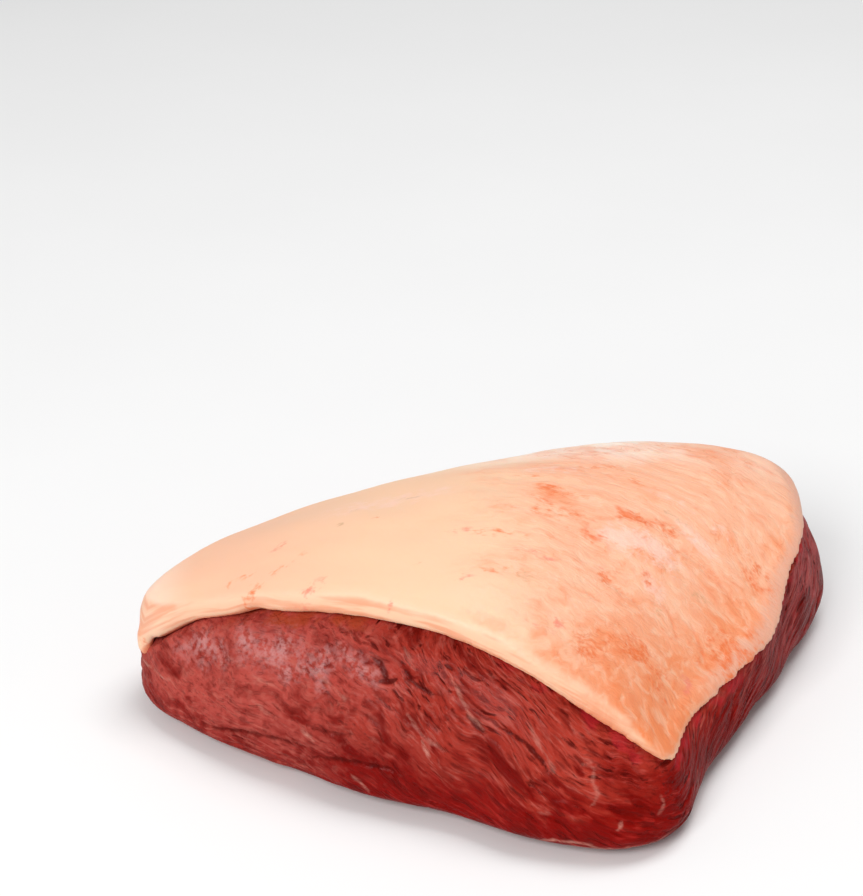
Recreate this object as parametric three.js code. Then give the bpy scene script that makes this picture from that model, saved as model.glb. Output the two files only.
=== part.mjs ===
// A whole raw picanha, the cap of the beef rump, lying on its lean underside with the fat cap up.
//
// The cut is a rounded triangle: a blunt tip at -X, and a broad end at +X that runs from the
// near corner (-Y) to the far corner (+Y). It is thickest in the middle of its long sides and
// thin at the tip and at the near corner. It has two layers. The lean is one muscle whose sides
// slump outwards over a flat sole. The fat cap is a layer of suet over the whole top, cut off
// square round its edge.
//
// Millimetres, +Z up. The sole is at Z = 0 and the origin is under the middle of the cut.

import * as THREE from "three";
import { ImprovedNoise } from "three/addons/math/ImprovedNoise.js";
import { mergeVertices } from "three/addons/utils/BufferGeometryUtils.js";

// Stations round the cut, anticlockwise from the tip as seen from above. At each one, rim is the
// line where the fat meets the lean (x, y, height), sole is where the lean leaves the board
// (x, y), and fat is how thick the cap is there.
const STATIONS = [
  { at: "tip", rim: [-123, 3, 32], sole: [-119, 4], fat: 14 },
  { at: "tip, near shoulder", rim: [-117, -6, 34], sole: [-115, -9], fat: 13 },
  { at: "near side by the tip", rim: [-99, -11, 40], sole: [-101, -22], fat: 13 },
  { at: "near side, first third", rim: [-75, -23, 51], sole: [-76, -40], fat: 12 },
  { at: "near side, thickest", rim: [-44, -37, 58], sole: [-45, -58], fat: 12 },
  { at: "near side, middle", rim: [-14, -49, 58], sole: [-14, -69], fat: 12 },
  { at: "near side, falling", rim: [14, -62, 51], sole: [15, -82], fat: 11 },
  { at: "near side by the corner", rim: [40, -71, 37], sole: [40, -87], fat: 9 },
  { at: "near corner", rim: [58, -73, 28], sole: [58, -80], fat: 7 },
  { at: "end, near third", rim: [71, -48, 27], sole: [71, -49], fat: 7 },
  { at: "end, middle", rim: [93, -19, 30], sole: [90, -16], fat: 8 },
  { at: "end, far third", rim: [108, 12, 38], sole: [108, 17], fat: 9 },
  { at: "end by the far corner", rim: [118, 45, 46], sole: [125, 50], fat: 10 },
  { at: "far corner", rim: [112, 73, 51], sole: [121, 80], fat: 10 },
  { at: "far side, broad", rim: [62, 77, 56], sole: [63, 86], fat: 12 },
  { at: "far side, middle", rim: [-10, 57, 56], sole: [-12, 66], fat: 12 },
  { at: "far side by the tip", rim: [-80, 39, 44], sole: [-82, 46], fat: 12 },
  { at: "tip, far shoulder", rim: [-113, 19, 36], sole: [-113, 22], fat: 13 },
];

// The crown is the middle of the dome. The dome is stretched over its edge as a soap film would
// be, and blown up: fullness is the curvature that adds, per millimetre.
const CROWN = new THREE.Vector2(5, 0);
const DOME_FULLNESS = 0.003;

// The lean side: it swells past the straight line from sole to rim, and tucks in at the board.
const SIDE_SWELL = 5;
const SOLE_TUCK = 7;
const TUCK_HEIGHT = 9;

// Outwards is square to a chord of the rim that reaches this far to both sides.
const CHORD_REACH = 10;

// The cut side of the fat leans in a little and turns over a small round shoulder.
const FAT_LEAN_IN = 2.5;
const SHOULDER_RADIUS = 4;
const SEAM_GAP = 0.5;

// Places where the lean's side stands out, or falls back with minus: how far round, how far up
// from the sole (0 to 1), how wide round and upwards, and by how much.
const SIDE_FORMS = [
  { at: 0.12, up: 0.12, width: 9, height: 0.16, out: -3.5 },
  { at: 0.61, up: 0.65, width: 26, height: 0.22, out: 4 },
];

// Small forms on the rim: how far round the rim they are (0 to 1 from the tip), how wide along
// it, and how far the lower edge of the fat is lifted there, with minus for a drop.
const RIM_NICKS = [
  { at: 0.008, width: 8, lift: -9 },
  { at: 0.083, width: 6, lift: 2.5 },
  { at: 0.505, width: 7, lift: 3 },
  { at: 0.55, width: 8, lift: -3 },
];

// Slow unevenness of the two surfaces: height of the lumps and the length from one to the next.
// On the dome they fade out over this inset next to its edge.
const LEAN_LUMPS = { height: 1.6, length: 26 };
const FAT_LUMPS = { height: 1.3, length: 34 };
const FADE_INSET = 0.25;

// Mesh fineness. The seam's rows stand closer together towards the rim, the more the higher the
// crowding is.
const AROUND = 160;
const DOME_ROWS = 9;
const SIDE_ROWS = 12;
const FAT_EDGE_ROWS = 4;
const SEAM_ROWS = 5;
const SOLE_ROWS = 2;
const SEAM_CROWDING = 1.4;

const MEAT_FINISH = { color: 0x8e2f2a, roughness: 0.45 };
const FAT_FINISH = { color: 0xf6bd98, roughness: 0.5 };

const noise = new ImprovedNoise();
const rimCurve = closedCurve(STATIONS.map(({ rim }) => rim));
const soleCurve = closedCurve(STATIONS.map(({ sole }) => [...sole, 0]));
const rimLength = rimCurve.getLength();
const ribs = Array.from({ length: AROUND }, (_, i) => ribAt(i / AROUND));
const rimEdge = ribs.map(({ rim }) => rim);
const shoulderEdge = ribs.map((rib) => fatEdgePoint(rib, 1));

function closedCurve(points) {
  return new THREE.CatmullRomCurve3(
    points.map((p) => new THREE.Vector3(...p)),
    true,
    "centripetal",
  );
}

// How far a small form lifts the rim, share being the place round it from 0 to 1.
function nickLift(share) {
  return RIM_NICKS.reduce((sum, { at, width, lift }) => {
    const away = rimDistance(share, at) / width;
    return sum + lift * Math.exp(-away * away);
  }, 0);
}

function rimDistance(share, other) {
  const apart = Math.abs(share - other);
  return Math.min(apart, 1 - apart) * rimLength;
}

// How far the small forms push the side out.
function sideFormOut(share, up) {
  return SIDE_FORMS.reduce((sum, form) => {
    const round = rimDistance(share, form.at) / form.width;
    const upwards = (up - form.up) / form.height;
    return sum + form.out * Math.exp(-round * round - upwards * upwards);
  }, 0);
}

// One upright rib of the cut: its rim and sole points, which way is out, and the fat's thickness.
// A nick lifts only the lower edge of the fat, so the fat is thinner there.
function ribAt(share) {
  const t = rimCurve.getUtoTmapping(share);
  const rim = rimCurve.getPoint(t);
  const sole = soleCurve.getPoint(t);
  const reach = CHORD_REACH / rimLength;
  const along = rimCurve.getPointAt((share + reach) % 1);
  along.sub(rimCurve.getPointAt((share - reach + 1) % 1));
  const out = new THREE.Vector3(along.y, -along.x, 0).normalize();
  const station = t * STATIONS.length;
  const before = STATIONS[Math.floor(station) % STATIONS.length].fat;
  const after = STATIONS[Math.ceil(station) % STATIONS.length].fat;
  const lift = nickLift(share);
  const fat = THREE.MathUtils.lerp(before, after, station % 1) - lift;
  rim.z += lift;
  return { share, rim, sole, out, fat };
}

function lump(point, { height, length }) {
  return height * noise.noise(point.x / length, point.y / length, point.z / length);
}

const bowl = ({ x, y }) => DOME_FULLNESS * (x * x + y * y);

// The height of the film over an edge, from the mean value coordinates of the point in it. Blown
// up, it stands above a bowl of the same edge.
function filmHeight(point, edge) {
  const spokes = edge.map(({ x, y }) => new THREE.Vector2(x - point.x, y - point.y));
  const lengths = spokes.map((spoke) => spoke.length());
  const spreads = spokes.map((spoke, i) => {
    const next = (i + 1) % edge.length;
    return spoke.cross(spokes[next]) / (lengths[i] * lengths[next] + spoke.dot(spokes[next]));
  });
  const weights = spreads.map((spread, i) => (spread + spreads.at(i - 1)) / lengths[i]);
  const total = weights.reduce((sum, w) => sum + w, 0);
  const stretched = weights.reduce((sum, w, i) => sum + w * (edge[i].z + bowl(edge[i])), 0);
  return stretched / total - bowl(point);
}

// The dome over an edge, on the rib's spoke, from inset 0 at the edge to 1 at the crown.
function domePoint(edge, rib, inset) {
  const point = edge[ribs.indexOf(rib)].clone();
  if (inset === 0) return point;
  point.lerp(new THREE.Vector3(CROWN.x, CROWN.y, 0), inset);
  point.z = filmHeight(point, edge) + lump(point, FAT_LUMPS) * Math.min(1, inset / FADE_INSET);
  return point;
}

// The seam between lean and fat.
function seamPoint(rib, inset, lift) {
  const point = domePoint(rimEdge, rib, inset);
  point.z += lift;
  return point;
}

// The lean's side, from 0 at the sole to 1 at the rim. Its relief fades out at both edges.
function sidePoint(rib, up) {
  const point = rib.sole.clone().lerp(rib.rim, up * up);
  point.z = rib.rim.z * up;
  const under = Math.max(0, 1 - point.z / TUCK_HEIGHT);
  const free = (1 - under) * (1 - up ** 4);
  const swell = SIDE_SWELL * Math.sin(Math.PI * Math.sqrt(up)) - SOLE_TUCK * under * under;
  const relief = (sideFormOut(rib.share, up) + lump(point, LEAN_LUMPS)) * free;
  return point.addScaledVector(rib.out, swell + relief);
}

// The cut side of the fat and its round shoulder, from 0 at the rim to 1 at the dome's edge.
function fatEdgePoint(rib, up) {
  const turn = (up * Math.PI) / 2;
  const inward = FAT_LEAN_IN * up + SHOULDER_RADIUS * (1 - Math.cos(turn));
  const point = rib.rim.clone().addScaledVector(rib.out, -inward);
  point.z += SEAM_GAP + (rib.fat - SEAM_GAP) * Math.sin(turn);
  return point;
}

function fatTopPoint(rib, inset) {
  return domePoint(shoulderEdge, rib, inset);
}

const shares = (count) => Array.from({ length: count }, (_, i) => i / count);
const crowded = (count) => shares(count).map((share) => 1 - (1 - share) ** SEAM_CROWDING);

// A ball whose rows, from its top pole to its bottom one, are moved to the given points. One
// that is meshed clockwise has its quads split the other way, so that the underside of one ball
// fits the top of another triangle for triangle.
function ballThrough(rows, top, bottom, clockwise = false) {
  const ball = new THREE.SphereGeometry(1, AROUND, rows.length + 1);
  const place = ball.getAttribute("position");
  for (let row = 0; row <= rows.length + 1; row++) {
    for (let step = 0; step <= AROUND; step++) {
      const rib = ribs[(clockwise ? AROUND - step : step) % AROUND];
      let point = row === 0 ? top : bottom;
      if (row > 0 && row <= rows.length) point = rows[row - 1](rib);
      place.setXYZ(row * (AROUND + 1) + step, point.x, point.y, point.z);
    }
  }
  if (clockwise) ball.index.array.reverse();
  ball.deleteAttribute("normal");
  ball.deleteAttribute("uv");
  const closed = mergeVertices(ball);
  closed.computeVertexNormals();
  return closed;
}

function leanGeometry() {
  const seam = crowded(SEAM_ROWS).reverse().map((inset) => (rib) => seamPoint(rib, inset, 0));
  const side = shares(SIDE_ROWS).reverse().map((up) => (rib) => sidePoint(rib, up));
  const sole = shares(SOLE_ROWS)
    .slice(1)
    .map((inset) => (rib) => sidePoint(rib, 0).lerp(new THREE.Vector3(CROWN.x, CROWN.y, 0), inset));
  const top = seamPoint(ribs[0], 1, 0);
  return ballThrough([...seam, ...side, ...sole], top, new THREE.Vector3(CROWN.x, CROWN.y, 0));
}

function fatGeometry() {
  const dome = shares(DOME_ROWS).reverse().map((inset) => (rib) => fatTopPoint(rib, inset));
  const edge = shares(FAT_EDGE_ROWS).reverse().map((up) => (rib) => fatEdgePoint(rib, up));
  const seam = crowded(SEAM_ROWS).slice(1).map((inset) => (rib) => seamPoint(rib, inset, SEAM_GAP));
  const top = fatTopPoint(ribs[0], 1);
  return ballThrough([...dome, ...edge, ...seam], top, seamPoint(ribs[0], 1, SEAM_GAP), true);
}

function layer(name, geometry, finish) {
  const material = new THREE.MeshStandardMaterial({ ...finish, metalness: 0 });
  const mesh = new THREE.Mesh(geometry, material);
  mesh.name = name;
  return mesh;
}

const picanha = new THREE.Group();
picanha.add(layer("lean", leanGeometry(), MEAT_FINISH));
picanha.add(layer("fat_cap", fatGeometry(), FAT_FINISH));

// Stand the origin under the middle of the cut.
const middle = new THREE.Box3().setFromObject(picanha).getCenter(new THREE.Vector3());
picanha.position.set(-middle.x, -middle.y, 0);

export default picanha;
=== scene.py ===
import random
from math import pi, radians

import bpy
import numpy as np
from mathutils import Matrix, Vector, noise
from mathutils.bvhtree import BVHTree
from mathutils.kdtree import KDTree


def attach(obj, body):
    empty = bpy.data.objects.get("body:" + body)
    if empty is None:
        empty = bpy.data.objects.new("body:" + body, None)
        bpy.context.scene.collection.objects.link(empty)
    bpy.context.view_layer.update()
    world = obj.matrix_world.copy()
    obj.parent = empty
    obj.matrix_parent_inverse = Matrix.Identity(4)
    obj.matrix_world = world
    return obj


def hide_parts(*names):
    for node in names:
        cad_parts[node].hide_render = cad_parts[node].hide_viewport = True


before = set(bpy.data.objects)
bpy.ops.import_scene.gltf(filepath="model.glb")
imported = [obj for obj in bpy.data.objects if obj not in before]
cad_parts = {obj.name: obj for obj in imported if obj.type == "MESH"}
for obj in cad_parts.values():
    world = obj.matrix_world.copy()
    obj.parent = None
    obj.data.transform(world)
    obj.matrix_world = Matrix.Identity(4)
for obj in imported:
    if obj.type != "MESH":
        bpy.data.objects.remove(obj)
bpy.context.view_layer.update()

# The view. An 85 mm lens on a 36 mm frame looks along +Y from three quarters of a metre away, and
# down at 29 degrees. The colours are shown as they are, with no film curve.
LENS_PLACE = (-0.02237, -0.62520, 0.45021)
LOOKING_DOWN = radians(29)

bpy.ops.object.select_all(action="DESELECT")
bpy.ops.object.camera_add(location=LENS_PLACE, rotation=(pi / 2 - LOOKING_DOWN, 0, 0))
camera = bpy.context.object
camera.data.lens = 85
camera.data.sensor_width = 36
bpy.context.scene.camera = camera
bpy.context.scene.view_settings.view_transform = "Standard"

# The table and the light. A plain white table, a pale room all round, a large softbox in front on
# the left, and a second one overhead that lights the far edge of the fat.


def add_node(tree, kind, inputs=None, **settings):
    """A shader node with its settings, and its inputs by name or number: values or other sockets."""
    made = tree.nodes.new("ShaderNode" + kind)
    for name, value in settings.items():
        setattr(made, name, value)
    for socket, value in (inputs or {}).items():
        if isinstance(value, bpy.types.NodeSocket):
            tree.links.new(value, made.inputs[socket])
        else:
            made.inputs[socket].default_value = value
    return made


def display(red, green, blue):
    """A colour in the 0 to 255 steps of a screen, as light."""
    steps = [value / 255 for value in (red, green, blue)]
    light = [s / 12.92 if s <= 0.04045 else ((s + 0.055) / 1.055) ** 2.4 for s in steps]
    return (*light, 1)


TABLE_TOP = -0.0002
TABLE_SHADE = display(243, 243, 243)
TABLE_WHITE = display(247, 247, 247)
ROOM_LIGHT = 0.36
SOFTBOXES = {
    "key softbox": {"place": (-0.80, -1.40, 1.35), "side": 0.9, "watts": 25.0},
    "top softbox": {"place": (0.40, 0.35, 1.80), "side": 1.0, "watts": 16.0},
}

bpy.ops.mesh.primitive_plane_add(size=8, location=(0, 0, TABLE_TOP))
table = bpy.context.object
table.name = "table"
paint = bpy.data.materials.new("white table")
paint.use_nodes = True
speckle = add_node(paint.node_tree, "TexNoise", {"Scale": 60.0, "Detail": 3.0})
tone = add_node(
    paint.node_tree,
    "Mix",
    {0: speckle.outputs["Fac"], 6: TABLE_SHADE, 7: TABLE_WHITE},
    data_type="RGBA",
)
surface_of_paint = paint.node_tree.nodes["Principled BSDF"]
paint.node_tree.links.new(tone.outputs[2], surface_of_paint.inputs["Base Color"])
surface_of_paint.inputs["Roughness"].default_value = 0.7
table.data.materials.append(paint)

for name, box in SOFTBOXES.items():
    bpy.ops.object.light_add(type="AREA", location=box["place"])
    lamp = bpy.context.object
    lamp.name = name
    lamp.data.size = box["side"]
    lamp.data.energy = box["watts"]
    lamp.rotation_euler = (-Vector(box["place"])).to_track_quat("-Z", "Y").to_euler()

room = bpy.data.worlds.new("room")
room.use_nodes = True
room.node_tree.nodes["Background"].inputs["Color"].default_value = (1, 1, 1, 1)
room.node_tree.nodes["Background"].inputs["Strength"].default_value = ROOM_LIGHT
bpy.context.scene.world = room

# The lean, as a shape. It is one muscle of long fibres in bundles, cut on all its sides, with deep
# grooves where bundles part. It starts as the solid rounded off and meshed finely, and is then
# pushed in and out along its fibres. Lengths in this section are millimetres.
LEAN_MESH = 1.42
QUARTER_SMOOTHING = 8
SIDES_CENTRE = np.array([5.0, 0.0])
SIDES_START = radians(150)
SOLE_RUN = np.array([0.8, -0.6])
TUCK_UNDER_FAT = 1.0

# The noise that pushes points about is drawn from this seed, so each run gives the same piece.
PUSH_SEED = 5
noise.seed_set(PUSH_SEED)

# How steeply the fibres fall along the sides, by bearing from the centre, going round by the tip.
FALLS = [(150, 0.0), (180, 0.05), (205, 0.12), (225, 0.30), (240, 0.45), (265, 0.55), (292, 0.50)]
FALLS += [(304, 0.0), (315, -0.55), (375, -0.5), (394, 0.0), (420, 0.4), (480, 0.35), (510, 0.0)]

# Grooves of the near side by (x, z) as it is seen from the front, with their depth and half width.
NEAR_GROOVES = [
    {
        "line": [(-103, 11.5), (-96, 12), (-86, 15.5), (-77, 17), (-71, 17.5), (-64, 14.5)],
        "deep": 0.8,
        "half": 0.9,
    },
    {"line": [(-64, 14.5), (-59, 16.5), (-49, 18.5), (-36, 19), (-33, 17)], "deep": 0.9, "half": 0.9},
    {"line": [(-39.5, 44.6), (-37, 45), (-34, 46)], "deep": 1.6, "half": 1.1},
    {"line": [(-30.5, 47), (-26.7, 45.5), (-21.7, 44)], "deep": 1.1, "half": 0.9},
    {"line": [(-5, 54), (-2, 52)], "deep": 0.9, "half": 0.9},
    {"line": [(0.5, 39), (4, 38), (8, 36), (13.5, 31.5), (15, 29)], "deep": 1.2, "half": 0.9},
    {"line": [(-11, 41), (-7, 38), (-4.7, 37)], "deep": 1.2, "half": 1.0},
    {"line": [(-64, 25), (-55, 26), (-45.5, 28)], "deep": 0.6, "half": 0.9},
    {"line": [(-42.5, 50.5), (-39.5, 49.5), (-36.5, 45)], "deep": 1.2, "half": 1.0},
    {"line": [(-31.5, 49.5), (-28, 46)], "deep": 1.0, "half": 0.9},
    {"line": [(-18, 53), (-14.5, 51)], "deep": 1.0, "half": 1.0},
    {"line": [(19, 38.5), (25.5, 34.5)], "deep": 0.9, "half": 0.8},
]


def finely_meshed(node, name, spacing, softening, finer, extra=None):
    """A new piece with a node's shape, rounded off and meshed in even quads of this spacing, which
    are quartered where the test on how a face lies asks for finer ones."""
    piece = bpy.data.objects.new(name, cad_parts[node].data.copy())
    bpy.context.scene.collection.objects.link(piece)
    piece.data.name = name
    piece.data.materials.clear()
    bpy.ops.object.select_all(action="DESELECT")
    piece.select_set(True)
    bpy.context.view_layer.objects.active = piece
    bpy.ops.object.mode_set(mode="EDIT")
    bpy.ops.mesh.select_all(action="SELECT")
    bpy.ops.mesh.remove_doubles(threshold=1e-6)
    bpy.ops.mesh.tris_convert_to_quads()
    bpy.ops.object.mode_set(mode="OBJECT")
    rounding = piece.modifiers.new("rounding", "SUBSURF")
    rounding.levels = rounding.render_levels = 2
    bpy.ops.object.modifier_apply(modifier="rounding")
    if extra:
        extra.select_set(True)
        bpy.ops.object.join()
    meshing = piece.modifiers.new("meshing", "REMESH")
    meshing.mode = "VOXEL"
    meshing.voxel_size = spacing / 1000
    softened = piece.modifiers.new("softened", "SMOOTH")
    softened.factor = 0.5
    softened.iterations = softening
    for modifier in ("meshing", "softened"):
        bpy.ops.object.modifier_apply(modifier=modifier)
    for polygon in piece.data.polygons:
        polygon.select = finer(polygon.normal)
    bpy.ops.object.mode_set(mode="EDIT")
    bpy.ops.mesh.select_mode(type="FACE")
    bpy.ops.mesh.subdivide(number_cuts=1)
    bpy.ops.mesh.vertices_smooth(factor=0.5, repeat=QUARTER_SMOOTHING)
    bpy.ops.object.mode_set(mode="OBJECT")
    bpy.ops.object.shade_smooth()
    return piece


def skin(piece):
    """The points of a piece in millimetres and the way each one faces, as two arrays."""
    mesh = piece.data
    points = np.empty(len(mesh.vertices) * 3)
    facing = np.empty(len(mesh.vertices) * 3)
    mesh.vertices.foreach_get("co", points)
    mesh.vertex_normals.foreach_get("vector", facing)
    return points.reshape(-1, 3) * 1000, facing.reshape(-1, 3)


def reshape(piece, points):
    piece.data.vertices.foreach_set("co", (points / 1000).ravel())
    piece.data.update()


def keep(piece, name, values, domain="POINT"):
    """Stores a value or a vector for each point of a piece, for its material."""
    if values.ndim == 1:
        layer = piece.data.attributes.new(name, "FLOAT", domain)
        layer.data.foreach_set("value", values)
    else:
        layer = piece.data.attributes.new(name, "FLOAT_VECTOR", domain)
        layer.data.foreach_set("vector", values.ravel())


def waves(points, lengths, shift=0.0):
    """Smooth noise from -1 to 1 with these wavelengths along the three axes."""
    scaled = points / np.array(lengths) + shift
    return np.array([noise.noise(p) for p in scaled.tolist()])


def swirled(points, reach, length):
    """The points pushed about by smooth noise, up to a reach."""
    pushes = [noise.noise_vector(p) for p in (points / length).tolist()]
    return points + reach * np.array([tuple(push) for push in pushes])


def tree_of(piece):
    return BVHTree.FromObject(piece, bpy.context.evaluated_depsgraph_get())


def on_skin(tree, seen_from, towards):
    """The point, in millimetres, where a line from outside first meets a piece, or the nearest
    one where the line only passes by."""
    start, way = Vector(seen_from) / 1000, Vector(towards)
    place = tree.ray_cast(start, way)[0]
    if place is None:
        place = tree.find_nearest(start + 0.15 * way)[0]
    return place * 1000


def from_near(tree, x, z):
    return on_skin(tree, (x, -300, z), (0, 1, 0))


def drawn(tree, place, line, half, taper=1.0):
    """A stroke over the skin through the given points: its points, half a millimetre apart, and
    its half width at each, which tapers to the ends."""
    corners = [place(tree, *corner) for corner in line]
    stroke = []
    for start, end in zip(corners, corners[1:]):
        steps = max(2, round((end - start).length / 0.5))
        stroke += [start.lerp(end, step / steps) for step in range(steps)]
    stroke.append(corners[-1])
    wobbled = [p + 0.35 * noise.noise_vector(p / 3) for p in stroke]
    share = np.linspace(-1, 1, len(wobbled))
    lumpy = np.array([1 + 0.5 * noise.noise(p / 2.5) for p in wobbled])
    return wobbled, half * lumpy * (1 - taper * np.abs(share) ** 2)


def nearest_stroke(points, strokes):
    """How far each point is from the edge of the nearest stroke, below zero inside it, and which
    stroke that is."""
    spots = [spot for stroke, _ in strokes for spot in stroke]
    halves = np.concatenate([np.broadcast_to(half, len(stroke)) for stroke, half in strokes])
    owners = np.repeat(np.arange(len(strokes)), [len(stroke) for stroke, _ in strokes])
    tree = KDTree(len(spots))
    for number, spot in enumerate(spots):
        tree.insert(spot, number)
    tree.balance()
    found = [tree.find(p) for p in points.tolist()]
    nearest = [number for _, number, _ in found]
    return np.array([far for _, _, far in found]) - halves[nearest], owners[nearest]


def bearing_of(points):
    """The bearing of each point from the middle of the piece, counted from the far side by the
    tip, past the tip and along the near side."""
    away = points[:, :2] - SIDES_CENTRE
    return np.mod(np.arctan2(away[:, 1], away[:, 0]) - SIDES_START, 2 * pi)


def outline_of(points, facing):
    """The outline of the sides at every other degree: bearings, reaches, and lengths round it."""
    walls = (np.abs(facing[:, 2]) < 0.75) & (points[:, 2] > 12) & (points[:, 2] < 30)
    bearings = bearing_of(points[walls])
    reaches = np.hypot(*(points[walls][:, :2] - SIDES_CENTRE).T)
    marks = np.radians(np.arange(0, 361, 2))
    found = [reaches[np.abs(bearings - mark) < radians(2)].mean() for mark in marks[:-1]]
    found = np.array([*found, found[0]])
    xy = np.stack([found * np.cos(marks), found * np.sin(marks)], axis=1)
    steps = np.hypot(*np.diff(xy, axis=0).T)
    return marks, found, np.concatenate([[0], np.cumsum(steps)])


def along_sides(points, outline):
    """Places on the sides in the fibres' own directions: along them round the piece, across them,
    and a little of the depth."""
    marks, reaches, lengths = outline
    bearings = bearing_of(points)
    falls = np.interp(marks + SIDES_START, np.radians([b for b, _ in FALLS]), [f for _, f in FALLS])
    dropped = np.concatenate([[0], np.cumsum(0.5 * (falls[1:] + falls[:-1]) * np.diff(lengths))])
    round_it = np.interp(bearings, marks, lengths)
    depth = np.hypot(*(points[:, :2] - SIDES_CENTRE).T) - np.interp(bearings, marks, reaches)
    return np.stack([round_it, points[:, 2] + np.interp(bearings, marks, dropped), 0.3 * depth], axis=1)


def along_sole(points):
    """Places on the sole along its fibres, across them, and up."""
    along = points[:, :2] @ SOLE_RUN
    across = points[:, :2] @ np.array([-SOLE_RUN[1], SOLE_RUN[0]])
    return np.stack([along, across, points[:, 2]], axis=1)


def on_shown_side(normal):
    return normal.y < -0.5 or normal.x > 0.5


lean = finely_meshed("lean", "lean_meat", LEAN_MESH, softening=12, finer=on_shown_side)
points, facing = skin(lean)
fat_tree = tree_of(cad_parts["fat_cap"])
below_fat = np.array([fat_tree.find_nearest(p)[3] for p in (points / 1000).tolist()]) * 1000
outline = outline_of(points, facing)
swirls = swirled(points, 5.0, 30.0)
side_grain = along_sides(swirls, outline)
sole_grain = along_sole(swirls)
is_sole = np.clip((-facing[:, 2] - 0.45) / 0.3, 0, 1)
seam_fade = np.clip(np.minimum(side_grain[:, 0], outline[2][-1] - side_grain[:, 0]) / 8, 0, 1)


def fibre_relief(grain, shift):
    """Bundles of fibres that stand out, and the deep and fine partings between them."""
    patchy = np.clip(0.6 + waves(points, (22, 22, 22), 9 + shift), 0, 1)
    parting = 1 - np.abs(waves(grain, (30, 5.5, 12), shift)) * 1.6
    fine_parting = 1 - np.abs(waves(grain, (15, 2.6, 8), 40 + shift)) * 1.6
    relief = 0.55 * waves(grain, (26, 7, 12), 21 + shift)
    partings = np.clip(parting, 0, 1) ** 6 + 0.5 * np.clip(fine_parting, 0, 1) ** 5
    return relief - patchy * partings


height = (1 - is_sole) * seam_fade * fibre_relief(side_grain, 0.5)
height += 0.4 * is_sole * fibre_relief(sole_grain, 7.5)
height += 0.8 * waves(points, (15, 15, 15), 3) * (1 - 0.7 * is_sole)
lean_tree = tree_of(lean)
crevice = np.zeros(len(points))
for groove in NEAR_GROOVES:
    stroke = drawn(lean_tree, from_near, groove["line"], groove["half"], taper=0.6)
    gap = np.maximum(nearest_stroke(points, [stroke])[0] + groove["half"], 0)
    cut = np.exp(-((gap / groove["half"]) ** 2))
    height -= groove["deep"] * cut
    crevice = np.maximum(crevice, cut * groove["deep"])
height *= np.clip(1.6 - 2 * np.clip(facing[:, 2], 0, 1), 0, 1) * np.clip(below_fat / 6, 0.25, 1)
points += facing * height[:, None]
points[:, 2] -= TUCK_UNDER_FAT * np.clip((facing[:, 2] - 0.6) / 0.2, 0, 1)
points[:, 2] = np.maximum(points[:, 2], 0)
reshape(lean, points)

# The marbling. Thin cream seams of fat run with the fibres: some drawn where the near side shows
# them, by (x, z) from the front, and the rest grown over the other sides from a fixed seed.
NEAR_SEAMS = [
    {"line": [(-67.7, 24.7), (-65.7, 23.7), (-63.9, 22.5), (-62, 21.5)], "half": 0.6, "pale": 0.9},
    {"line": [(-83, 26.7), (-80.7, 25.7), (-78.8, 24.6), (-75.8, 24.2)], "half": 0.4, "pale": 0.5},
    {"line": [(-49.2, 13.8), (-46.4, 11.9), (-44.5, 10), (-43, 8)], "half": 0.55, "pale": 0.7},
    {
        "line": [(-30.3, 36.9), (-27.7, 33.7), (-25.2, 31.7), (-22.3, 29.9), (-18, 27.9)],
        "half": 0.55,
        "pale": 0.6,
    },
    {"line": [(-25.8, 30), (-23.6, 26.1), (-22.3, 23.6)], "half": 0.5, "pale": 1.0},
    {"line": [(-63.2, 42.4), (-58.8, 41.2), (-55, 39.8), (-51.2, 37.2)], "half": 0.35, "pale": 0.45},
    {"line": [(-84, 34.4), (-80.7, 33.7), (-76.8, 33.3), (-73, 33)], "half": 0.35, "pale": 0.45},
    {
        "line": [
            (-15.8, 49.3), (-13.9, 46.6), (-12.7, 44.4), (-10.5, 41.7), (-7.4, 38.9), (-5.6, 37.7),
        ],
        "half": 0.55,
        "pale": 0.7,
    },
    {"line": [(8.6, 41.9), (11.6, 36.6), (14.6, 33.2), (17.1, 28.9)], "half": 0.5, "pale": 0.55},
    {
        "line": [
            (25.7, 31), (28.8, 31.3), (30, 29.4), (29.3, 27.2), (31.1, 23.8), (29.9, 21.3), (28.6, 20.6),
        ],
        "half": 0.4,
        "pale": 0.55,
    },
    {"line": [(-31.4, 54.8), (-29.9, 52.9), (-29.1, 51), (-27.5, 49.5)], "half": 0.45, "pale": 0.4},
    {"line": [(51.9, 19.9), (53.0, 17.6), (51.0, 15.1)], "half": 0.4, "pale": 0.45},
    {"line": [(38.9, 15.6), (38.4, 14), (37.2, 12.7)], "half": 0.45, "pale": 0.7},
    {"line": [(11.6, 16.9), (16.4, 17.1)], "half": 0.4, "pale": 0.5},
]
SEAM_SEED = 11
GROWN_SEAMS = 120


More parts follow.
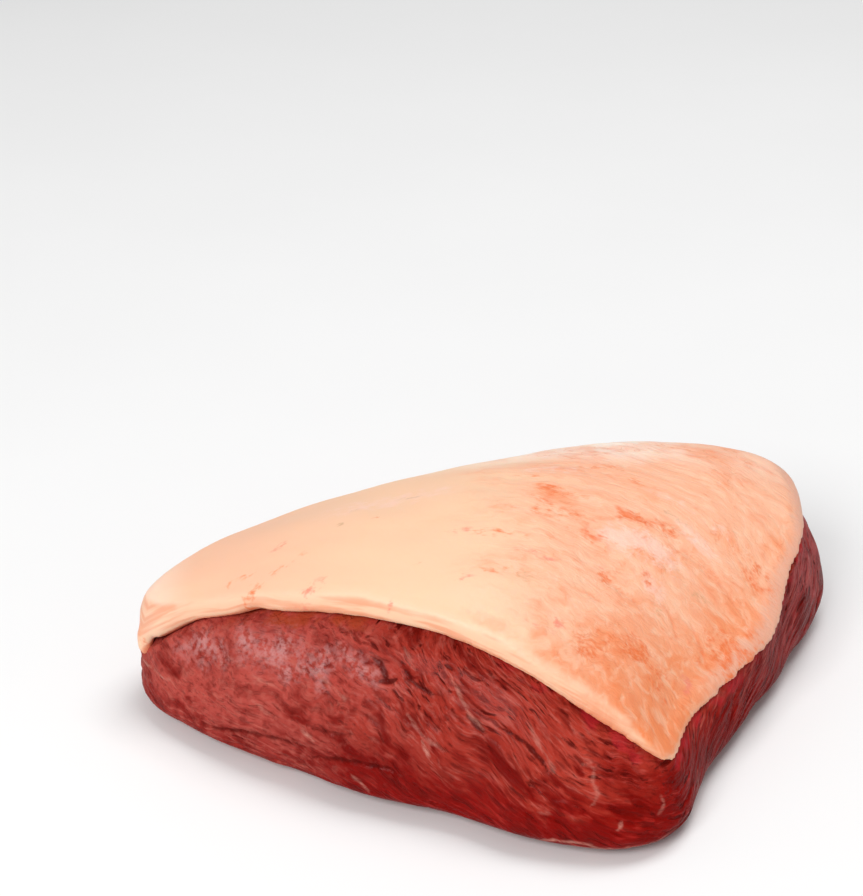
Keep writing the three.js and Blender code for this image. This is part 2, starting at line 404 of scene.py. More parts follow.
def grown(tree, start, length, half, turn):
    """A seam that follows the fibres over the skin from a point, turned a little from them."""
    spot, stroke = Vector(start), []
    for _ in range(round(length / 0.6)):
        place, out, _, _ = tree.find_nearest(spot / 1000)
        spot = place * 1000
        stroke.append(spot.copy())
        beside = Vector((-out.y, out.x, 0)).normalized() if abs(out.z) < 0.9 else Vector((1, 0, 0))
        bearing = float(bearing_of(np.array([spot]))[0]) + SIDES_START
        fall = np.interp(bearing, np.radians([b for b, _ in FALLS]), [f for _, f in FALLS])
        run = Vector((SOLE_RUN[0], SOLE_RUN[1], 0)) if out.z < -0.6 else beside + Vector((0, 0, -fall))
        run = (run - out * run.dot(out)).normalized()
        wander = turn + 0.9 * noise.noise(spot / 9)
        spot += 0.6 * (Matrix.Rotation(wander, 3, out) @ run)
    share = np.linspace(-1, 1, len(stroke))
    lumpy = np.array([0.75 + 0.5 * noise.noise(p / 4) for p in stroke])
    return stroke, half * (1 - share**2) * lumpy


draw = random.Random(SEAM_SEED)
seams = [drawn(lean_tree, from_near, seam["line"], 0.8 * seam["half"]) for seam in NEAR_SEAMS]
paleness = [seam["pale"] for seam in NEAR_SEAMS]
near_side = (facing[:, 1] < -0.45) & (facing[:, 2] > -0.6)
hidden = (facing[:, 2] > 0.5) | (facing[:, 0] > 0.45)
grounds = np.flatnonzero(~near_side & ~hidden).tolist()
for _ in range(GROWN_SEAMS):
    start = points[draw.choice(grounds)].tolist()
    thick = draw.random() ** 2
    turn = draw.gauss(0, 0.35)
    seams.append(grown(lean_tree, start, draw.uniform(7, 16) + 16 * thick, 0.25 + 0.65 * thick, turn))
    paleness.append(0.5 + 0.5 * thick)
from_seam, which = nearest_stroke(points, seams)

# The torn white skin and the bloom of the near side, as lines of (x, z) from the front.
TORN_SKIN = [
    {"line": [(-86, 42), (-73, 43), (-60, 43)], "half": 5.5},
    {"line": [(-108, 33), (-97, 36)], "half": 4.0},
    {"line": [(-50, 49), (-44, 46)], "half": 2.0},
]
torn = [drawn(lean_tree, from_near, line["line"], line["half"], taper=0.3) for line in TORN_SKIN]

mesh = lean.data
corner_point = np.empty(len(mesh.loops), dtype=int)
mesh.loops.foreach_get("vertex_index", corner_point)
face_start = np.empty(len(mesh.polygons), dtype=int)
face_size = np.empty(len(mesh.polygons), dtype=int)
mesh.polygons.foreach_get("loop_start", face_start)
mesh.polygons.foreach_get("loop_total", face_size)
corner_face = np.repeat(np.arange(len(face_start)), face_size)
corner_grain = side_grain[corner_point]
half_way = outline[2][-1] / 2
face_far = np.maximum.reduceat(corner_grain[:, 0], face_start)[corner_face]
corner_grain[(face_far > half_way * 1.8) & (corner_grain[:, 0] < half_way * 0.2), 0] += 2 * half_way
sole_face = (np.add.reduceat(is_sole[corner_point], face_start) / face_size > 0.5)[corner_face]
corner_grain[sole_face] = sole_grain[corner_point][sole_face]

keep(lean, "grain", corner_grain, "CORNER")
keep(lean, "seam", np.clip(from_seam, -2, 6))
keep(lean, "seam_pale", np.array(paleness)[which])
keep(lean, "crevice", crevice)
keep(lean, "torn_skin", np.clip(nearest_stroke(points, torn)[0], -8, 20))
keep(lean, "below_fat", np.clip(below_fat, 0, 30))

# The finish of the lean. Raw beef: dark red bundles with paler fibres in them, brownish pink and
# dull towards the tip, wet and deep red low down, with a torn white skin under the fat. The
# grooves carry painted shade, and the right part of the near side is partly painted lighter.
MEAT_RED = display(164, 50, 38)
TIP_RED = display(180, 74, 65)
RIGHT_RED_AND_PAINTED_LIGHT = display(186, 63, 48)
WET_RED = display(132, 3, 1)
WINE_RED = display(144, 24, 20)
END_PINKISH = display(164, 73, 75)
DEEP_RED = display(112, 10, 5)
GASH_RED = display(92, 10, 6)
WISP_PINK = display(190, 96, 84)
BLOOD_PINK = display(184, 28, 25)
CRACK_RED_AND_GROOVE_SHADE = display(80, 6, 3)
SEAM_CREAM = display(210, 144, 128)
SKIN_WHITE = display(206, 152, 150)
RIM_BROWN = display(170, 68, 36)
RIM_CRIMSON = display(200, 44, 54)

# The smooth part of the near side, where the fibres hardly show.
CALM_MIDDLE = (-0.044, -0.045, 0.019)
CALM_REACH = (0.036, 0.060, 0.011)


def streak_group():
    """Fibre streaks as a node group: noise that is long along the grain and narrow across it, and
    wavers by up to the given reach."""
    group = bpy.data.node_groups.new("fibre streaks", "ShaderNodeTree")
    face = group.interface
    face.new_socket("Grain", in_out="INPUT", socket_type="NodeSocketVector")
    usual = {"Length": 12.0, "Width": 1.2, "Waver": 1.5, "Detail": 2.0, "Shift": 0.0}
    for name, value in usual.items():
        face.new_socket(name, in_out="INPUT", socket_type="NodeSocketFloat").default_value = value
    face.new_socket("Streak", in_out="OUTPUT", socket_type="NodeSocketFloat")
    given = group.nodes.new("NodeGroupInput").outputs
    bends = add_node(group, "TexNoise", {"Vector": given["Grain"], "Scale": 0.14, "Detail": 1.0})
    centred = add_node(
        group, "VectorMath", {0: bends.outputs["Color"], 1: (0.5, 0.5, 0.5)}, operation="SUBTRACT"
    )
    waver = add_node(
        group, "VectorMath", {0: centred.outputs[0], "Scale": given["Waver"]}, operation="SCALE"
    )
    bent = add_node(group, "VectorMath", {0: given["Grain"], 1: waver.outputs[0]}, operation="ADD")
    lengths = add_node(group, "CombineXYZ", {0: given["Length"], 1: given["Width"], 2: given["Width"]})
    scaled = add_node(
        group, "VectorMath", {0: bent.outputs[0], 1: lengths.outputs[0]}, operation="DIVIDE"
    )
    shifted = add_node(group, "VectorMath", {0: scaled.outputs[0], 1: given["Shift"]}, operation="ADD")
    cloud = add_node(
        group, "TexNoise", {"Vector": shifted.outputs[0], "Scale": 1.0, "Detail": given["Detail"]}
    )
    result = group.nodes.new("NodeGroupOutput")
    group.links.new(cloud.outputs["Fac"], result.inputs["Streak"])
    return group


STREAKS = streak_group()


def streaks(tree, grain, length, width, waver=4.0, detail=2.0, shift=0.0):
    made = tree.nodes.new("ShaderNodeGroup")
    made.node_tree = STREAKS
    tree.links.new(grain, made.inputs["Grain"])
    chosen = {"Length": length, "Width": width, "Waver": waver, "Detail": detail, "Shift": shift}
    for name, value in chosen.items():
        made.inputs[name].default_value = value
    return made.outputs["Streak"]


def step(tree, value, start, end, low=0.0, high=1.0):
    """A smooth step from low to high while a value goes from start to end."""
    turned = start > end
    limits = {1: end, 2: start, 3: high, 4: low} if turned else {1: start, 2: end, 3: low, 4: high}
    return add_node(tree, "MapRange", {0: value, **limits}, interpolation_type="SMOOTHSTEP").outputs[0]


def mix(tree, share, under, over):
    return add_node(tree, "Mix", {0: share, 6: under, 7: over}, data_type="RGBA").outputs[2]


def plus(tree, first, second):
    return add_node(tree, "Math", {0: first, 1: second}, operation="ADD").outputs[0]


def minus(tree, first, second):
    return add_node(tree, "Math", {0: first, 1: second}, operation="SUBTRACT").outputs[0]


def times(tree, first, second):
    return add_node(tree, "Math", {0: first, 1: second}, operation="MULTIPLY").outputs[0]


def larger(tree, first, second):
    return add_node(tree, "Math", {0: first, 1: second}, operation="MAXIMUM").outputs[0]


def swing(tree, cloud, reach):
    """A noise moved to lie about nought, and spread by this much."""
    return times(tree, minus(tree, cloud, 0.5), reach)


def off_middle(tree, value):
    """How far a noise is from its middle value. It is nought along thin winding lines."""
    from_middle = minus(tree, value, 0.5)
    return add_node(tree, "Math", {0: from_middle}, operation="ABSOLUTE").outputs[0]


meat = bpy.data.materials.new("raw lean")
meat.use_nodes = True
tree = meat.node_tree
grain = add_node(tree, "Attribute", attribute_name="grain").outputs["Vector"]
seam = add_node(tree, "Attribute", attribute_name="seam").outputs["Fac"]
seam_pale = add_node(tree, "Attribute", attribute_name="seam_pale").outputs["Fac"]
crevice = add_node(tree, "Attribute", attribute_name="crevice").outputs["Fac"]
torn_skin = add_node(tree, "Attribute", attribute_name="torn_skin").outputs["Fac"]
below = add_node(tree, "Attribute", attribute_name="below_fat").outputs["Fac"]
place = add_node(tree, "TexCoord").outputs["Object"]
where = add_node(tree, "SeparateXYZ", {0: place}).outputs
outward = add_node(tree, "SeparateXYZ", {0: add_node(tree, "NewGeometry").outputs["Normal"]}).outputs

bundle = streaks(tree, grain, 15, 5.0, waver=6, shift=3)
strand = streaks(tree, grain, 7, 1.8, waver=3.5, detail=3, shift=11)
fibre = streaks(tree, grain, 4, 0.9, waver=2, detail=3, shift=27)
gash = streaks(tree, grain, 9, 1.8, waver=4, shift=50)
wisp = streaks(tree, grain, 8, 1.2, waver=3, detail=3, shift=83)
cloudy = add_node(tree, "TexNoise", {"Vector": place, "Scale": 50.0, "Detail": 3.0}).outputs["Fac"]
blotchy = add_node(tree, "TexNoise", {"Vector": place, "Scale": 130.0, "Detail": 4.0}).outputs["Fac"]

along = plus(tree, where[0], swing(tree, cloudy, 0.06))
to_tip = step(tree, along, -0.020, -0.080)
up = plus(tree, where[2], swing(tree, bundle, 0.05))
low_down = times(tree, step(tree, up, 0.034, 0.014), step(tree, along, -0.080, -0.040))
at_corner = step(tree, minus(tree, along, where[1]), 0.106, 0.134)
wet = larger(tree, low_down, at_corner)
at_end = step(tree, outward[0], 0.45, 0.8)
lively = step(tree, plus(tree, cloudy, times(tree, up, 6.0)), 0.50, 0.85, low=0.45)
from_calm = add_node(tree, "VectorMath", {0: place, 1: CALM_MIDDLE}, operation="SUBTRACT").outputs[0]
from_calm = add_node(tree, "VectorMath", {0: from_calm, 1: CALM_REACH}, operation="DIVIDE").outputs[0]
from_calm = add_node(tree, "VectorMath", {0: from_calm}, operation="LENGTH").outputs["Value"]
lively = times(tree, lively, step(tree, from_calm, 0.5, 1.3, low=0.35))
lively = times(tree, lively, step(tree, where[0], -0.040, -0.085, low=1.0, high=0.5))
lively = larger(tree, lively, at_end)

base = mix(tree, to_tip, MEAT_RED, TIP_RED)
# A lighter, duller red over the right part of the near side: partly its own colour, partly painted light
# where the side turns away from the key softbox.
base = mix(tree, step(tree, along, -0.005, 0.030, high=0.6), base, RIGHT_RED_AND_PAINTED_LIGHT)
end_colour = mix(tree, step(tree, where[1], -0.045, 0.015), WINE_RED, END_PINKISH)
base = mix(tree, times(tree, at_end, 0.85), base, end_colour)
at_foot = step(tree, up, 0.024, 0.008, high=0.7)
base = mix(tree, at_foot, base, WET_RED)
base = mix(tree, times(tree, wet, 0.9), base, WET_RED)
base = mix(tree, times(tree, step(tree, wisp, 0.52, 0.74, high=0.6), wet), base, BLOOD_PINK)
dry_wisp = times(tree, step(tree, wisp, 0.50, 0.72, high=0.65), step(tree, wet, 1.0, 0.2, low=0.1))
base = mix(tree, dry_wisp, base, WISP_PINK)
bundle_dark = step(tree, bundle, 0.53, 0.33, high=0.75)
bundle_dark = times(tree, bundle_dark, step(tree, to_tip, 0.0, 1.0, low=1.0, high=0.6))
base = mix(tree, bundle_dark, base, DEEP_RED)
base = mix(tree, times(tree, step(tree, strand, 0.50, 0.30, high=0.7), lively), base, GASH_RED)
strand_light = times(tree, step(tree, strand, 0.50, 0.72, high=0.4), lively)
base = mix(tree, times(tree, strand_light, step(tree, wet, 1.0, 0.0, low=0.2)), base, WISP_PINK)
base = mix(tree, step(tree, fibre, 0.48, 0.28, high=0.45), base, GASH_RED)
gashes = times(tree, step(tree, gash, 0.38, 0.31, high=0.9), lively)
gashes = times(tree, gashes, step(tree, to_tip, 0.3, 1.0, low=1.0, high=0.35))
base = mix(tree, gashes, base, CRACK_RED_AND_GROOVE_SHADE)
base = mix(tree, step(tree, from_calm, 1.3, 0.5, high=0.2), base, GASH_RED)
base = mix(tree, step(tree, blotchy, 0.44, 0.30, high=0.3), base, GASH_RED)
mottle = add_node(tree, "TexNoise", {"Vector": place, "Scale": 330.0, "Detail": 3.0}).outputs["Fac"]
base = mix(tree, times(tree, step(tree, mottle, 0.52, 0.70, high=0.35), to_tip), base, WISP_PINK)
base = mix(tree, times(tree, step(tree, mottle, 0.46, 0.32, high=0.4), to_tip), base, GASH_RED)
# Painted shade: the grooves of the near side are painted near black red, by their depth.
base = mix(tree, step(tree, crevice, 0.15, 0.9, high=0.85), base, CRACK_RED_AND_GROOVE_SHADE)

ragged = plus(tree, below, swing(tree, blotchy, 22.0))
rim_tint = step(tree, ragged, 3.0, -1.5, high=0.7)
is_brown = times(tree, step(tree, along, -0.095, -0.075), step(tree, along, -0.035, -0.050))
rim_colour = mix(tree, step(tree, where[0], -0.035, 0.0), RIM_BROWN, RIM_CRIMSON)
is_crimson = step(tree, along, -0.01, 0.02, high=0.8)
base = mix(tree, times(tree, rim_tint, larger(tree, is_brown, is_crimson)), base, rim_colour)

crinkle = add_node(tree, "TexNoise", {"Vector": place, "Scale": 520.0, "Detail": 4.0}).outputs["Fac"]
crinkles = step(tree, crinkle, 0.36, 0.66)
skin_edge = plus(tree, torn_skin, swing(tree, blotchy, 22.0))
on_patch = step(tree, skin_edge, 6.0, -7.0)
base = mix(tree, times(tree, times(tree, crinkles, on_patch), 0.68), base, SKIN_WHITE)

frayed = plus(tree, seam, swing(tree, blotchy, 2.2))
frayed = plus(tree, frayed, swing(tree, fibre, 2.0))
marbling = times(tree, step(tree, frayed, 0.8, -0.7), seam_pale)
marbling = times(tree, marbling, step(tree, fibre, 0.30, 0.56, low=0.35))
base = mix(tree, marbling, base, SEAM_CREAM)

finish = tree.nodes["Principled BSDF"]
tree.links.new(base, finish.inputs["Base Color"])
tree.links.new(step(tree, wet, 0.0, 1.0, low=0.5, high=0.34), finish.inputs["Roughness"])
relief = plus(tree, times(tree, strand, lively), times(tree, fibre, 0.35))
relief = plus(tree, relief, times(tree, blotchy, 0.3))
relief = plus(tree, relief, times(tree, step(tree, gash, 0.32, 0.42), 0.25))
bump = add_node(tree, "Bump", {"Strength": 1.0, "Distance": 0.0014, "Height": relief})
tree.links.new(bump.outputs[0], finish.inputs["Normal"])
finish.inputs["Specular IOR Level"].default_value = 0.03
finish.inputs["Subsurface Weight"].default_value = 0.05
finish.inputs["Subsurface Radius"].default_value = (1.0, 0.2, 0.12)
finish.inputs["Subsurface Scale"].default_value = 0.002
tree.links.new(step(tree, at_end, 0.0, 1.0, low=0.05, high=0.01), finish.inputs["Coat Weight"])
finish.inputs["Coat Roughness"].default_value = 0.15
lean.data.materials.append(meat)
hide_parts("lean")
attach(lean, "root")

# The fat cap, as a shape. A layer of firm suet over the whole top, trimmed square along its edge.
# Its broad half is pulled into fine ridges that curve towards the near corner. Lengths are
# millimetres.
FAT_MESH = 1.2
EDGE_SMOOTHING = 12
FLOW_CENTRE = np.array([-13.0, -153.0])
FLOW_LENGTH = 175.0
LOWER_EDGE_DROP = 1.8
EDGE_OUT = 0.7
END_OUT = 1.2
PULLS = [
    {"place": (57, -72, 29), "reach": 9, "by": (0.6, -1.6, -1.8)},
    {"place": (97, -8, 37), "reach": 13, "by": (2.0, -0.6, -1.8)},
]
TIP_FLAP = {"place": (-0.1240, -0.0015, 0.0275), "halves": (0.0025, 0.0030, 0.0060)}

# Creases and the raised line along the near shoulder, by (x, y) from above.
FAT_CREASES = [
    {"line": [(71.7, 4.3), (75, 2.5), (78.5, -0.5), (81.2, -3.8)], "deep": 0.5, "half": 0.7},
    {"line": [(60, 2), (66, 5), (71, 4)], "deep": 0.35, "half": 0.7},
    {"line": [(33, 8), (41, 10), (46, 12.5)], "deep": 0.35, "half": 0.7},
    {"line": [(66, -20), (70, -27), (72, -34)], "deep": 0.35, "half": 0.7},
    {"line": [(36.4, -19.3), (40.3, -21), (46.3, -23.2), (52, -27)], "deep": 0.5, "half": 0.7},
    {"line": [(71.2, 2.6), (75, -0.6), (79.8, -2.3), (84, -7)], "deep": 0.6, "half": 0.8},
    {"line": [(46, 12.5), (49, 11.8), (55.3, 14.4), (62, 15), (68, 13)], "deep": 0.5, "half": 0.7},
    {"line": [(55.6, -18.7), (59.6, -22.7), (61, -29)], "deep": 0.45, "half": 0.7},
    {"line": [(26.4, -28.1), (30, -27.9), (36, -30)], "deep": 0.35, "half": 0.7},
]
SHOULDER_LINE = [(-110, -8), (-95, -13), (-84, -19), (-66.5, -27), (-46, -35), (-33, -41)]
SHOULDER_LINE += [(-19.5, -46.5), (-3.5, -53), (6.5, -58), (19, -63), (32, -67), (41, -70)]


def from_above(tree, x, y):
    return on_skin(tree, (x, y, 200), (0, 0, -1))


def along_flow(points):
    """Places in the fat's own directions: round the flow's centre, out from it, and up."""
    moved = swirled(points, 5.0, 34.0)
    away = moved[:, :2] - FLOW_CENTRE
    reach = np.hypot(away[:, 0], away[:, 1])
    round_it = FLOW_LENGTH * np.arctan2(away[:, 0], away[:, 1])
    return np.stack([round_it, reach, moved[:, 2]], axis=1)


def on_cut_edge(normal):
    return normal.z < 0.75 and normal.z > -0.95 and normal.y < 0.5


bpy.ops.mesh.primitive_uv_sphere_add(segments=24, ring_count=16, radius=1, location=TIP_FLAP["place"])
tip_flap = bpy.context.object
tip_flap.scale = TIP_FLAP["halves"]
bpy.ops.object.transform_apply(location=True, scale=True)
fat = finely_meshed("fat_cap", "suet_cap", FAT_MESH, softening=5, finer=on_cut_edge, extra=tip_flap)
points, facing = skin(fat)
lean_tree = tree_of(lean)
above_lean = np.array([lean_tree.find_nearest(p)[3] for p in (points / 1000).tolist()]) * 1000
flow = along_flow(points)
on_top = np.clip((facing[:, 2] - 0.3) / 0.4, 0, 1)
pulled = np.clip((points[:, 0] + 20) / 70, 0, 1) * on_top
height = 0.5 * waves(points, (20, 20, 20), 5)
ridge = 1 - np.abs(waves(flow, (22, 5.5, 60), 13)) * 1.6
fine_ridge = 1 - np.abs(waves(flow, (12, 2.6, 60), 31)) * 1.6
patchy = np.clip(0.5 + waves(points, (18, 18, 18), 77), 0, 1)
furrows = 0.25 * np.clip(ridge, 0, 1) ** 5 + 0.18 * np.clip(fine_ridge, 0, 1) ** 4
height += pulled * (0.25 * waves(flow, (24, 7, 60), 2) - patchy * furrows)
cap_tree = tree_of(fat)
crease = np.zeros(len(points))
for fold in FAT_CREASES:
    stroke = drawn(cap_tree, from_above, fold["line"], fold["half"], taper=0.6)
    gap = np.maximum(nearest_stroke(points, [stroke])[0] + fold["half"], 0)
    cut = np.exp(-((gap / fold["half"]) ** 2))
    height -= fold["deep"] * cut
    crease = np.maximum(crease, cut)
bead = drawn(cap_tree, from_above, SHOULDER_LINE, 0.0)
from_bead = nearest_stroke(points, [bead])[0]
height += 0.5 * np.exp(-((from_bead / 1.6) ** 2))
height -= 0.3 * np.exp(-(((from_bead - 5) / 2.5) ** 2)) * on_top
height *= np.clip((facing[:, 2] + 0.5) / 0.5, 0, 1)
points += facing * height[:, None]
points[:, 2] -= LOWER_EDGE_DROP * np.clip(1.3 - above_lean / 4, 0, 1) * (1 - on_top)
at_edge = np.clip((0.75 - np.abs(facing[:, 2])) / 0.3, 0, 1)
edge_out = EDGE_OUT + END_OUT * np.clip((points[:, :1] - 55) / 30, 0, 1)
points[:, :2] += edge_out * at_edge[:, None] * facing[:, :2]
for pull in PULLS:
    near = np.exp(-((points - pull["place"]) ** 2).sum(axis=1) / pull["reach"] ** 2)
    points += near[:, None] * np.array(pull["by"])
reshape(fat, points)
for polygon in fat.data.polygons:
    polygon.select = on_cut_edge(polygon.normal)
bpy.ops.object.select_all(action="DESELECT")
fat.select_set(True)
bpy.context.view_layer.objects.active = fat
bpy.ops.object.mode_set(mode="EDIT")
bpy.ops.mesh.vertices_smooth(factor=0.5, repeat=EDGE_SMOOTHING)
bpy.ops.object.mode_set(mode="OBJECT")
points, facing = skin(fat)
above_lean = np.array([lean_tree.find_nearest(p)[3] for p in (points / 1000).tolist()]) * 1000
bearings = np.degrees(bearing_of(points))
reaches = np.hypot(*(points[:, :2] - SIDES_CENTRE).T)
rims = [reaches[np.abs(bearings - mark) < 2].max() for mark in range(0, 361, 2)]
from_rim = np.interp(bearings, range(0, 361, 2), rims) - reaches

# The stains on the fat, by (x, y) from above, with their length along the flow, their width and
# their strength: orange blood marks, white bloom, pink marks and grey specks.
BLOOD_MARKS = [
    (46.3, 12.6, 5, 3, 1.0), (52, 13, 9, 2.5, 0.8), (17.4, 14.2, 6, 3, 0.8), (-3, -8, 6, 3, 0.8),
    (28.6, 7, 11, 3, 0.75), (32.3, -1.4, 9, 3, 0.85), (36.4, -19.3, 6, 4, 0.75), (29.5, -50, 8, 5, 0.9),
    (46.3, -39.7, 8, 5, 0.9), (38, -45, 12, 5, 0.55), (83.8, -21.6, 7, 5, 0.8), (79, -29.5, 6, 4, 0.7),
    (89.4, -15, 7, 4, 0.6), (94.5, 12, 7, 3, 0.55), (93.5, 5.5, 7, 3, 0.6), (89, 5.5, 6, 3, 0.5),
    (43, 43, 6, 2.5, 0.6), (81.8, -21.8, 5, 5, 0.6), (-41, 6.2, 2.6, 2.2, 0.65),
    (-83, -20.5, 2.5, 2.5, 0.8),
    (-92.6, -10.7, 2, 1.5, 0.55), (-86, -10, 4, 2, 0.4), (-73, -12.6, 11, 2, 0.4),
    (14.4, 32, 8, 2, 0.5),
    (18, 24, 8, 2, 0.5), (33.5, 41, 6, 2, 0.5), (24.6, 20, 9, 2.5, 0.6), (11, 7.5, 10, 2.5, 0.55),
    (6.6, -8, 7, 2, 0.5), (18.7, -6, 5, 3, 0.5), (-0.6, -27, 11, 2.5, 0.5), (53, 33.4, 6, 2.5, 0.5),
    (51.4, -13, 7, 3, 0.6), (53.7, -47.6, 14, 7, 0.5), (75, -22, 6, 4, 0.55), (62, 12, 9, 2.5, 0.6),
    (70, -30, 9, 5, 0.5),
]
WHITE_MARKS = [
    (70.6, 12.6, 10, 4, 0.6), (41, 1.1, 10, 5, 0.7), (63.1, 27.6, 7, 2.5, 0.45),
    (53.4, -15.3, 8, 4, 0.6), (81, 19, 5, 3, 0.4), (56, 1, 12, 5, 0.8), (20, 38, 16, 5, 0.4),
    (-40, 20, 25, 8, 0.5),
]
ROSE_MARKS = [
    (-75.3, 1.3, 4, 2.5, 0.6), (-63, -27.5, 8, 2.5, 0.6), (-35.7, -40, 2, 1, 0.5),
    (-12.3, -7.7, 7, 3, 0.5), (13, -16.3, 10, 2.5, 0.55), (-12, -32.7, 7, 2.5, 0.45),
    (19, -45.6, 4, 2.5, 0.9), (12, -49, 7, 3, 0.5),
    (63.8, -40.7, 3, 4, 0.85), (32, -13.6, 7, 2.5, 0.5),
]
GREY_MARKS = [
    (-30.5, 21, 3, 1.4, 0.9), (-49, 15, 2, 1.4, 0.65), (-53.4, 6.2, 2.4, 1.2, 0.6),
    (-101.5, 6, 2, 1.2, 0.6), (-27, -25, 2.4, 1, 0.55), (-53, -25, 1.7, 1.2, 0.5),
    (8.4, -28.4, 6, 2, 0.5), (54.6, -23, 5, 2.5, 0.45),
    (64.7, 19, 8, 1.5, 0.5), (70.8, -10.8, 6, 4, 0.4),
]
TIP_STAIN = {"place": (-124.5, -5.5, 27.0), "reach": 2.6}


def stained(points, flow, marks):
    """How strongly each point is stained by the marks, from 0 to 1."""
    total = np.zeros(len(points))
    for x, y, long, wide, strength in marks:
        spot = np.array([from_above(cap_tree, x, y)])
        apart = flow - along_flow(spot)
        near = np.exp(-((apart[:, 0] / long) ** 2) - (apart[:, 1] / wide) ** 2)
        total += strength * near * (np.abs(points[:, 2] - spot[0, 2]) < 9)
    return np.minimum(total, 1)


keep(fat, "grain", flow)
on_flap = np.exp(-((points - TIP_STAIN["place"]) ** 2).sum(axis=1) / TIP_STAIN["reach"] ** 2)
keep(fat, "blood", np.maximum(stained(points, flow, BLOOD_MARKS), on_flap))
keep(fat, "bloom", stained(points, flow, WHITE_MARKS))
keep(fat, "rose", stained(points, flow, ROSE_MARKS))
keep(fat, "grey", stained(points, flow, GREY_MARKS))
keep(fat, "crease", crease)
keep(fat, "bead", np.exp(-((from_bead / 1.5) ** 2)))
keep(fat, "above_lean", np.clip(above_lean, 0, 20))
keep(fat, "from_rim", np.clip(from_rim, 0, 30))

# The finish of the fat. Suet: pale cream and smooth towards the tip, peach and streaked with
# orange over the broad half, more orange at the near corner, and pinker where it was cut. The very
# tip and the far edge carry painted light, the creases painted shade, and the deeper orange at the
# near corner is partly painted shade.
TIP_PAINTED_LIGHT = display(252, 214, 190)
TIP_PEACH = display(246, 192, 160)
MIDDLE_CREAM = display(249, 202, 167)
BROAD_PEACH = display(250, 183, 148)
ORANGE_AND_CORNER_SHADE = display(242, 136, 80)
WHITE_BLOOM = display(253, 208, 190)
FAR_SIDE_PAINTED_LIGHT = display(255, 246, 234)
CUT_PEACH = display(238, 158, 120)
END_PINK = display(230, 174, 150)
FLECK_CREAM = display(253, 212, 182)
BLOOD_ORANGE_AND_CREASE_SHADE = display(236, 118, 62)
LINE_ORANGE = display(216, 112, 62)
ROSE_PINK = display(238, 130, 110)
SPECK_GREY = display(206, 160, 120)
EDGE_ORANGE = display(222, 124, 84)

suet = bpy.data.materials.new("raw suet")
suet.use_nodes = True
tree = suet.node_tree
grain = add_node(tree, "Attribute", attribute_name="grain").outputs["Vector"]
blood = add_node(tree, "Attribute", attribute_name="blood").outputs["Fac"]
bloom = add_node(tree, "Attribute", attribute_name="bloom").outputs["Fac"]
rose = add_node(tree, "Attribute", attribute_name="rose").outputs["Fac"]
grey = add_node(tree, "Attribute", attribute_name="grey").outputs["Fac"]
crease = add_node(tree, "Attribute", attribute_name="crease").outputs["Fac"]
bead = add_node(tree, "Attribute", attribute_name="bead").outputs["Fac"]
above = add_node(tree, "Attribute", attribute_name="above_lean").outputs["Fac"]
from_rim = add_node(tree, "Attribute", attribute_name="from_rim").outputs["Fac"]
place = add_node(tree, "TexCoord").outputs["Object"]
where = add_node(tree, "SeparateXYZ", {0: place}).outputs
outward = add_node(tree, "SeparateXYZ", {0: add_node(tree, "NewGeometry").outputs["Normal"]}).outputs

broad = streaks(tree, grain, 40, 9, waver=8, shift=5)
streak = streaks(tree, grain, 14, 3.2, waver=5, detail=4, shift=17)
thread = streaks(tree, grain, 6, 1.0, waver=3, detail=3, shift=29)
thin_lines = off_middle(tree, streaks(tree, grain, 16, 3.6, waver=5, detail=2, shift=61))
cloudy = add_node(tree, "TexNoise", {"Vector": place, "Scale": 42.0, "Detail": 4.0}).outputs["Fac"]
mottle = add_node(tree, "TexNoise", {"Vector": place, "Scale": 260.0, "Detail": 3.0}).outputs["Fac"]

along = plus(tree, where[0], swing(tree, broad, 0.08))
to_broad = step(tree, along, -0.018, 0.032)
cornerwards = minus(tree, times(tree, along, 0.6), times(tree, where[1], 0.8))
base = mix(tree, step(tree, where[0], -0.10, -0.035), TIP_PEACH, MIDDLE_CREAM)
# Painted light: the very tip, where it curves away from the key softbox, is painted paler.
base = mix(tree, step(tree, where[0], -0.104, -0.122, high=0.9), base, TIP_PAINTED_LIGHT)
base = mix(tree, to_broad, base, BROAD_PEACH)
# Deeper orange towards the near corner: partly the suet's own orange, partly painted shade where the
# corner slopes away from the key softbox.
base = mix(tree, step(tree, cornerwards, 0.035, 0.085, high=0.9), base, ORANGE_AND_CORNER_SHADE)
# Painted light: the far edge of the fat, which faces away from the key softbox, is painted near white.
far_side_painted_light = step(tree, plus(tree, where[1], times(tree, cloudy, 0.03)), 0.055, 0.080)
far_side_painted_light = times(tree, far_side_painted_light, step(tree, where[0], 0.085, 0.045, low=0.2, high=0.8))
base = mix(tree, far_side_painted_light, base, FAR_SIDE_PAINTED_LIGHT)
warm = times(tree, step(tree, cloudy, 0.50, 0.68, high=0.5), to_broad)
base = mix(tree, warm, base, ORANGE_AND_CORNER_SHADE)
pale = times(tree, step(tree, streak, 0.54, 0.32, high=0.35), to_broad)
base = mix(tree, pale, base, FLECK_CREAM)
smears = times(tree, step(tree, streak, 0.55, 0.74, high=0.3), to_broad)
base = mix(tree, smears, base, BLOOD_ORANGE_AND_CREASE_SHADE)
lines = times(tree, step(tree, thin_lines, 0.024, 0.004, high=0.32), step(tree, cloudy, 0.50, 0.60))
base = mix(tree, times(tree, lines, to_broad), base, LINE_ORANGE)

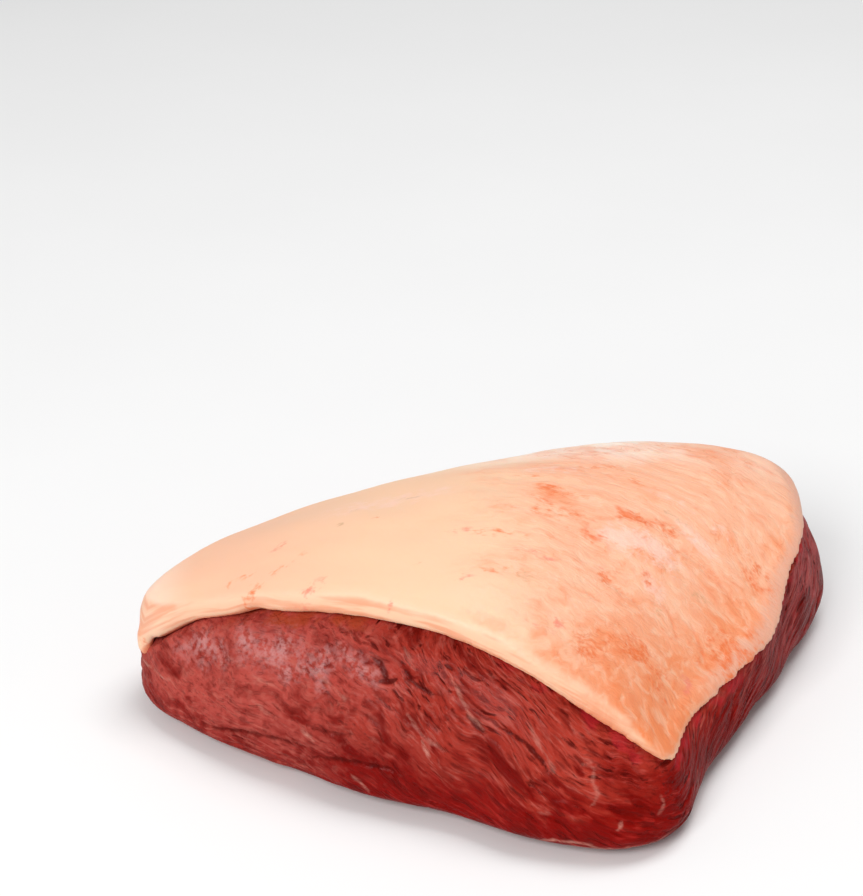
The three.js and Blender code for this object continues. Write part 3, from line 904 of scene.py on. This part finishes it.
cut_side = step(tree, outward[2], 0.70, 0.42)
band_height = times(tree, above, 0.012)
band_place = add_node(tree, "CombineXYZ", {0: where[0], 1: where[1], 2: band_height})
bands = add_node(tree, "TexNoise", {"Vector": band_place.outputs[0], "Scale": 45.0, "Detail": 2.0})
bands = bands.outputs["Fac"]
cut_colour = mix(tree, step(tree, bands, 0.38, 0.62), CUT_PEACH, MIDDLE_CREAM)
base = mix(tree, times(tree, cut_side, 0.75), base, cut_colour)
rim = plus(tree, from_rim, swing(tree, streak, 9.0))
end_side = times(tree, step(tree, where[0], 0.062, 0.082), step(tree, rim, 9.5, 3.5, high=0.8))
base = mix(tree, end_side, base, END_PINK)
base = mix(tree, times(tree, bead, 0.5), base, FLECK_CREAM)

uneven = minus(tree, plus(tree, thread, times(tree, mottle, 1.5)), 1.25)
uneven = times(tree, uneven, 2.2)
bloomed = step(tree, plus(tree, bloom, times(tree, uneven, 0.4)), 0.1, 0.8, high=0.75)
base = mix(tree, times(tree, bloomed, step(tree, bloom, 0.02, 0.3)), base, WHITE_BLOOM)
rosy = step(tree, plus(tree, rose, uneven), 0.2, 1.4, high=0.75)
base = mix(tree, times(tree, rosy, step(tree, rose, 0.05, 0.4)), base, ROSE_PINK)
bloody = step(tree, plus(tree, blood, uneven), 0.2, 1.6, high=0.9)
base = mix(tree, times(tree, bloody, step(tree, blood, 0.03, 0.45)), base, BLOOD_ORANGE_AND_CREASE_SHADE)
greyish = step(tree, plus(tree, grey, uneven), 0.2, 1.3, high=0.6)
base = mix(tree, times(tree, greyish, step(tree, grey, 0.05, 0.25)), base, SPECK_GREY)
# Painted shade: the creases are darkened towards the same orange.
base = mix(tree, times(tree, crease, 0.45), base, BLOOD_ORANGE_AND_CREASE_SHADE)
edge = plus(tree, above, swing(tree, mottle, 3.0))
stained_edge = times(tree, step(tree, edge, 2.4, 0.8, high=0.7), step(tree, where[0], 0.02, -0.03))
base = mix(tree, stained_edge, base, EDGE_ORANGE)

finish = tree.nodes["Principled BSDF"]
tree.links.new(base, finish.inputs["Base Color"])
tree.links.new(step(tree, cloudy, 0.3, 0.7, low=0.42, high=0.55), finish.inputs["Roughness"])
threads = plus(tree, times(tree, streak, 1.2), times(tree, thread, 0.45))
relief = plus(tree, times(tree, threads, to_broad), times(tree, mottle, 0.2))
bump = add_node(tree, "Bump", {"Strength": 1.0, "Distance": 0.0004, "Height": relief})
tree.links.new(bump.outputs[0], finish.inputs["Normal"])
finish.inputs["Specular IOR Level"].default_value = 0.25
finish.inputs["Subsurface Weight"].default_value = 0.2
finish.inputs["Subsurface Radius"].default_value = (1.0, 0.5, 0.3)
finish.inputs["Subsurface Scale"].default_value = 0.003
finish.inputs["Coat Weight"].default_value = 0.04
finish.inputs["Coat Roughness"].default_value = 0.3
fat.data.materials.append(suet)
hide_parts("fat_cap")
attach(fat, "root")
